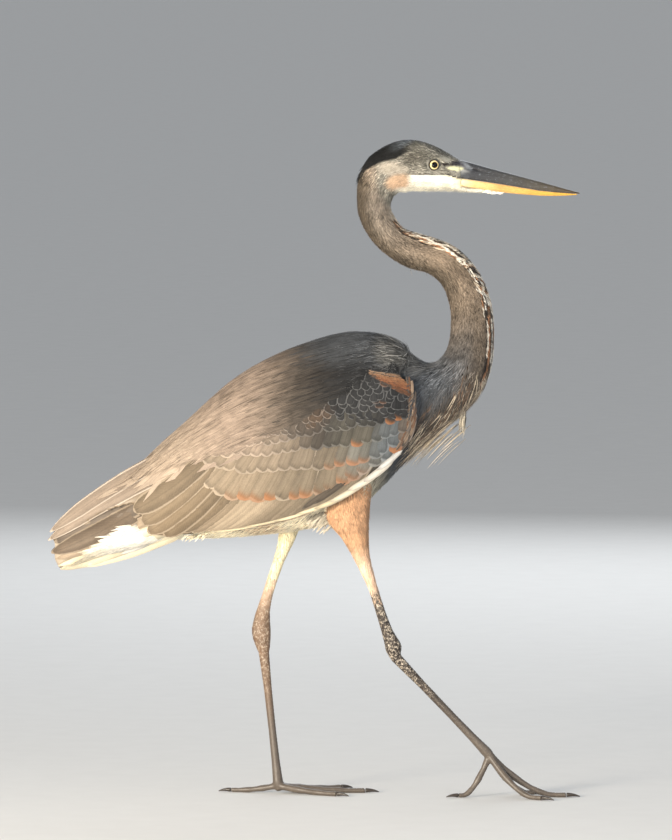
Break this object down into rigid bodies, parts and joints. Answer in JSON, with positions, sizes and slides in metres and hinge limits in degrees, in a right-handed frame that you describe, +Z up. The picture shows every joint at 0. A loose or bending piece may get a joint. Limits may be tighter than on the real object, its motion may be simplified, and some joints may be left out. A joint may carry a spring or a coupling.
{
  "type": "great blue heron",
  "caption": "Life-size still model of a great blue heron in mid stride: neck in an S, bill level, wings folded, standing on its toes.",
  "frame": {"origin": "on the floor, under the middle of the bird's overall box", "axes": "+X the way the bird faces and walks, +Y to its left, +Z up"},
  "size_m": [0.61, 0.1512, 0.7525],
  "materials": {
    "plumage_slate": "soft dark slate contour feathers, matt with a faint sheen",
    "plumage_neck": "fine warm taupe neck feathers with a streaked white, black and rufous foreneck",
    "plumage_head": "short smooth head feathers, dark crown, white cheek and chin",
    "plumage_wing": "grey-brown coverts and flight feathers with pale and rust fringes",
    "plumage_tail": "grey-brown tail feathers over white under tail coverts",
    "plumage_thigh": "short buff and rust thigh feathers",
    "leg_skin": "dull brown-grey scaly leg skin",
    "claw_horn": "dark horn claws, semi-matt",
    "bill_upper_horn": "dark slate horn with a paler edge, satin",
    "bill_lower_horn": "cream to orange-yellow horn, satin",
    "eye": "glossy yellow iris with a black pupil"
  },
  "bodies": {
    "root": {"trunk": "plumage_slate", "mantle": "plumage_slate", "neck_base": "plumage_slate", "neck_lower": "plumage_neck", "neck_middle": "plumage_neck", "neck_upper": "plumage_neck", "head": "plumage_head", "chin": "plumage_head", "eye_right": "eye", "eye_left": "eye", "bill_upper": "bill_upper_horn", "bill_lower": "bill_lower_horn", "wing_right": "plumage_wing", "wing_left": "plumage_wing", "tail": "plumage_tail", "thigh_right": "plumage_thigh", "thigh_left": "plumage_thigh", "shank_right": "leg_skin", "shank_left": "leg_skin", "tarsus_right": "leg_skin", "tarsus_left": "leg_skin", "foot_right": "leg_skin", "foot_left": "leg_skin", "toe_middle_right": "leg_skin", "toe_inner_right": "leg_skin", "toe_outer_right": "leg_skin", "toe_hind_right": "leg_skin", "toe_middle_left": "leg_skin", "toe_inner_left": "leg_skin", "toe_outer_left": "leg_skin", "toe_hind_left": "leg_skin", "claw_middle_right": "claw_horn", "claw_inner_right": "claw_horn", "claw_outer_right": "claw_horn", "claw_hind_right": "claw_horn", "claw_middle_left": "claw_horn", "claw_inner_left": "claw_horn", "claw_outer_left": "claw_horn", "claw_hind_left": "claw_horn"}
  },
  "joints": []
}
